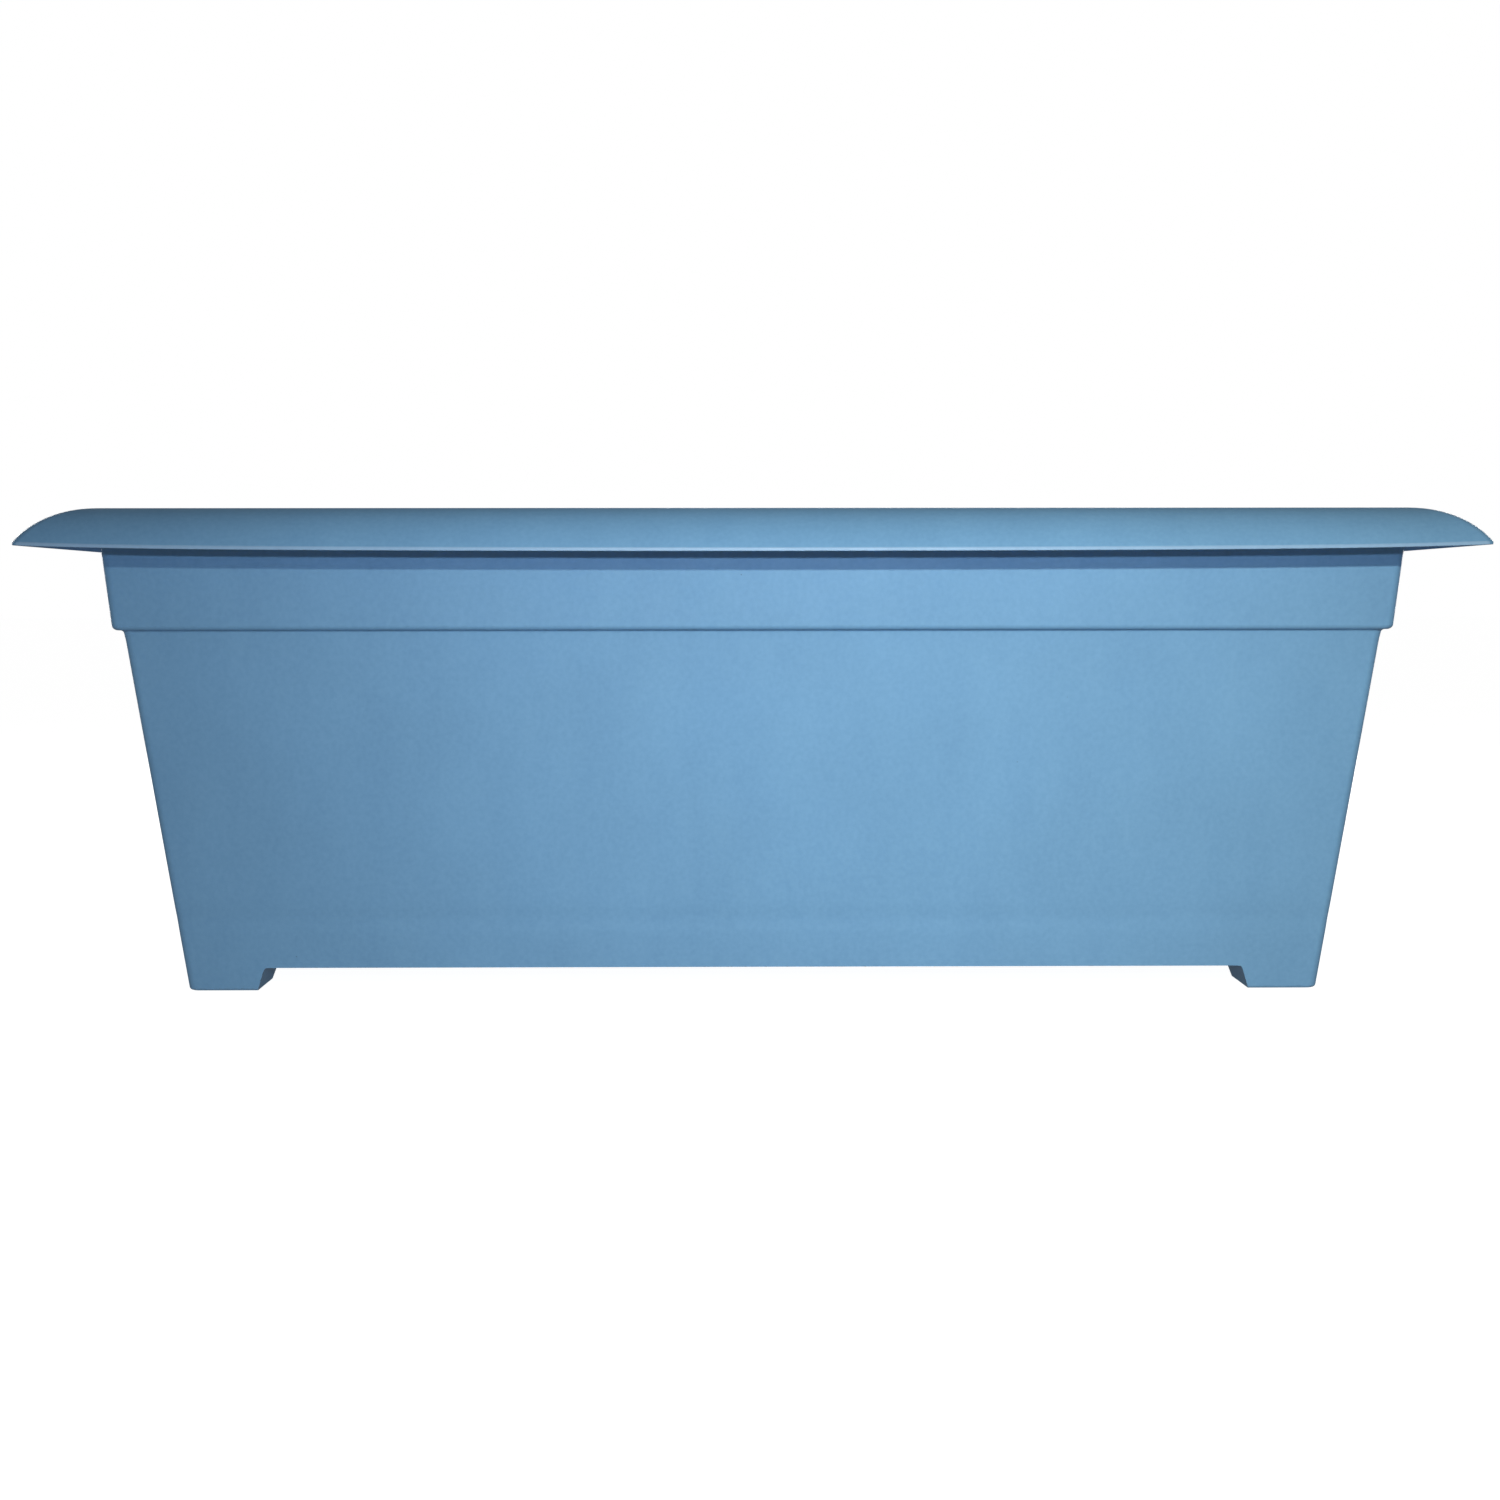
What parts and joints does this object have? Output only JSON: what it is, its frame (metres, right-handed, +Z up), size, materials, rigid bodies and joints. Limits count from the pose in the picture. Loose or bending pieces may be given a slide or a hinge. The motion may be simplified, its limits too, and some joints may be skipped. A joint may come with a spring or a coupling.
{
  "type": "self watering planter",
  "caption": "Long tapered self-watering trough planter with a broad drooping rim, corner feet, raised soil platform, lidded fill tube and float gauge.",
  "frame": {"origin": "on the ground, midway between the four feet", "axes": "+X along the trough, +Y towards the back, +Z up"},
  "size_m": [0.711, 0.279, 0.245],
  "materials": {
    "box_plastic": "matte, moulded-in slate blue with a fine grain",
    "inner_plastic": "matte charcoal",
    "clear_plastic": "clear, glossy",
    "float_foam": "matte off-white",
    "tip_red": "glossy red",
    "plug_rubber": "matte black",
    "pin_steel": "satin stainless"
  },
  "bodies": {
    "box": {"planter_box": "box_plastic"},
    "platform": {"platform": "inner_plastic", "wick_cup_left": "inner_plastic", "wick_cup_right": "inner_plastic"},
    "fill_tube": {"fill_tube": "inner_plastic", "fill_collar": "inner_plastic", "lid_pin": "pin_steel"},
    "fill_lid": {"fill_lid": "box_plastic"},
    "gauge": {"gauge_tube": "inner_plastic", "gauge_guide": "inner_plastic", "gauge_window": "clear_plastic"},
    "float": {"gauge_float": "float_foam", "float_rod": "float_foam", "float_tip": "tip_red"},
    "drain_plug_left": {"drain_plug_left": "plug_rubber", "drain_gasket_left": "plug_rubber"},
    "drain_plug_right": {"drain_plug_right": "plug_rubber", "drain_gasket_right": "plug_rubber"},
    "overflow_plug_left": {"overflow_plug_left": "plug_rubber"},
    "overflow_plug_right": {"overflow_plug_right": "plug_rubber"}
  },
  "joints": [
    {"name": "platform_lift", "type": "slide", "parent": "box", "child": "platform", "axis": [0, 0, 1], "range_m": [0, 0.25]},
    {"name": "fill_tube_lift", "type": "slide", "parent": "platform", "child": "fill_tube", "axis": [0, 0, 1], "range_m": [0, 0.12]},
    {"name": "fill_lid_hinge", "type": "hinge", "parent": "fill_tube", "child": "fill_lid", "pos_m": [0.262, 0.0724, 0.2296], "axis": [-1, 0, 0], "range_deg": [0, 110]},
    {"name": "gauge_lift", "type": "slide", "parent": "platform", "child": "gauge", "axis": [0, 0, 1], "range_m": [0, 0.12]},
    {"name": "float_rise", "type": "slide", "parent": "gauge", "child": "float", "axis": [0, 0, 1], "range_m": [0, 0.015]},
    {"name": "drain_plug_left_pull", "type": "slide", "parent": "box", "child": "drain_plug_left", "axis": [0, 0, -1], "range_m": [0, 0.012]},
    {"name": "drain_plug_right_pull", "type": "slide", "parent": "box", "child": "drain_plug_right", "axis": [0, 0, -1], "range_m": [0, 0.012]},
    {"name": "overflow_plug_left_pull", "type": "slide", "parent": "box", "child": "overflow_plug_left", "axis": [-0.9917, 0, -0.1288], "range_m": [0, 0.012]},
    {"name": "overflow_plug_right_pull", "type": "slide", "parent": "box", "child": "overflow_plug_right", "axis": [0.9917, 0, -0.1288], "range_m": [0, 0.012]}
  ]
}
